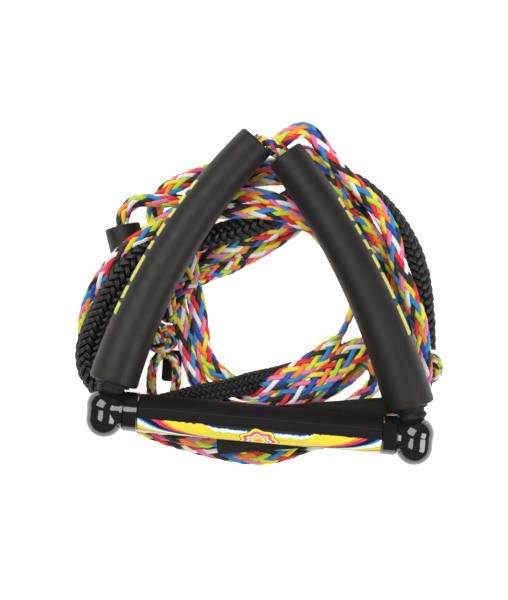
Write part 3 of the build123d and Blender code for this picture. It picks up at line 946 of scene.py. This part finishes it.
# The bridle's rope from arm to arm at the apex, and through the bar
apex_stretches = [
    (0.0096, 0.0094, 0, [
        (-0.0260, 0.1020, 0.0540), (-0.0205, 0.1120, 0.0545), (-0.0130, 0.1125, 0.0560),
        (-0.0060, 0.1085, 0.0560),
        (0.0005, 0.1050, 0.0545), (0.0050, 0.0960, 0.0540),
    ]),
]
bar_stretches = [
    (0.0092, 0.0092, 0, [
        (-0.1135, -0.086, 0.054), (-0.1135, -0.094, 0.054), (-0.1125, -0.099, 0.054), (-0.106, -0.099, 0.054),
        (0.0, -0.0990, 0.054), (0.106, -0.099, 0.054), (0.1125, -0.099, 0.054), (0.1135, -0.094, 0.054),
        (0.1135, -0.086, 0.054),
    ]),
]
apex_rope = colour_braid("apex_rope", cord_line("apex_line", apex_stretches, 0.0014), boat_strands, 0.05)
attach(apex_rope, "arms")
bar_rope = colour_braid("bar_rope", cord_line("bar_line", bar_stretches, 0.002), boat_strands, 0.05)
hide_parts("bridle_bar_rope")
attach(bar_rope, "bar")

# Boat-end float
float_top = np.array([-0.120, 0.041, 0.01375])
heading = unit(np.array([0.32, -0.947, 0.0]))
boat_length = 0.068
boat_reach = 0.01375


def boat_place(distance):
    """The point at a distance from the boat-end float's head, and a direction across it."""
    return float_top + heading * distance, np.array([-heading[1], heading[0], 0.0])


boat_float = lathe(
    "boat_float_foam", boat_place,
    float_profile(0, boat_length, lambda distance: boat_reach, 0.0018, 0.0068, 16), foam,
)
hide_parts("boat_end_float")
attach(boat_float, "boat_float")


# Tie strap and its tail: stitched webbing
stitch_inset = 0.0022
stitch_pitch = 0.0034
stitch_length = 0.0024
stitch_sink = 0.0003
thread_radius = 0.0003
stitch_margin = 0.004
edge_squareness = 0.22
face_flatness = 0.55
ripple_rate = 7.3


def strap_piece(name, start, end, width, height, thickness, corner, sag):
    """A length of webbing with rounded corners, rolled edges and a stitched line inside them."""
    run = np.array(end) - np.array(start)
    length = np.linalg.norm(run)
    ahead = run / length
    aside = np.array([-ahead[1], ahead[0]])
    rows = []
    shares = np.concatenate([
        np.linspace(0, 0.03, 7), np.linspace(0.035, 0.965, 70), np.linspace(0.97, 1, 7),
    ])
    angles = np.linspace(0, 2 * pi, 60, endpoint=False)
    for share in shares:
        from_end = min(share, 1 - share) * length
        pinch = corner - np.sqrt(max(corner**2 - max(corner - from_end, 0) ** 2, 0))
        half = width / 2 - pinch
        row = []
        for angle in angles:
            # A superellipse is a flat band with rolled edges
            across = half * np.sign(cos(angle)) * abs(cos(angle)) ** edge_squareness
            rise = thickness / 2 * np.sign(sin(angle)) * abs(sin(angle)) ** face_flatness
            ripple = sag * (sin(share * ripple_rate) + 0.5 * cos(share * 17 + across * 90))
            at = np.array(start) + ahead * share * length + aside * across
            row.append([at[0], at[1], height + rise + ripple])
        rows.append(row)
    shape = Shape()
    rows = np.array(rows)
    shape.grid(rows, np.zeros((*rows.shape[:2], 2)))
    for edge in (-1, 1):
        for stitch in np.arange(stitch_margin, length - stitch_margin, stitch_pitch):
            at = np.array(start) + ahead * stitch + aside * edge * (width / 2 - stitch_inset)
            level = height + thickness / 2 + sag * sin(stitch / length * ripple_rate)
            line = np.array([[*(at + ahead * step), level] for step in np.linspace(0, stitch_length, 4)])
            line[[0, -1], 2] -= stitch_sink
            side, top = line_frames(line)
            shape.tube(line, side, top, thread_radius, thread_radius, 6, 1)
    return shape.build(name, [webbing, black_braid_yarn])


strap = strap_piece(
    "strap_band", (-0.0328, -0.1102), (0.097, -0.0885),
    width=0.034, height=0.0360, thickness=0.0016, corner=0.003, sag=0.00025,
)
strap_end = strap_piece(
    "strap_end", (-0.0725, -0.0520), (-0.0720, -0.0765),
    width=0.0150, height=0.0030, thickness=0.0016, corner=0.0025, sag=0.0001,
)
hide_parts("tie_strap")
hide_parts("strap_tail")
for piece in (strap, strap_end):
    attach(piece, "coil")

# Floor, lights and world
floor_mesh = bpy.data.meshes.new("floor")
floor_reach = 20.0
floor_mesh.from_pydata(
    [(x * floor_reach, y * floor_reach, 0) for x, y in ((-1, -1), (1, -1), (1, 1), (-1, 1))],
    [], [(0, 1, 2, 3)],
)
floor = bpy.data.objects.new("floor", floor_mesh)
floor.location.z = -0.0005
scene.collection.objects.link(floor)
floor_material = bpy.data.materials.new("floor")
floor_material.use_nodes = True
floor_shader = floor_material.node_tree.nodes["Principled BSDF"]
floor_shader.inputs["Base Color"].default_value = (0.9, 0.9, 0.9, 1)
floor_shader.inputs["Roughness"].default_value = 0.9
floor_shader.inputs["Emission Color"].default_value = (1, 1, 1, 1)
floor_shader.inputs["Emission Strength"].default_value = 0.75
floor_mesh.materials.append(floor_material)


def softbox(name, place, size, power):
    """A square studio light, aimed at the handle."""
    aim = (0, -0.02, 0.03)
    light = bpy.data.lights.new(name, "AREA")
    light.shape = "SQUARE"
    light.size = size
    light.energy = power
    lamp = bpy.data.objects.new(name, light)
    lamp.location = place
    lamp.rotation_euler = (Vector(aim) - Vector(place)).to_track_quat("-Z", "Y").to_euler()
    scene.collection.objects.link(lamp)


softbox("key_box", (-0.95, 0.45, 1.95), 1.80, 52)
softbox("fill_box", (1.40, -0.35, 1.25), 1.00, 22)
world = bpy.data.worlds.new("world")
world.use_nodes = True
background = world.node_tree.nodes["Background"]
background.inputs["Color"].default_value = (1, 1, 1, 1)
background.inputs["Strength"].default_value = 0.12
scene.world = world
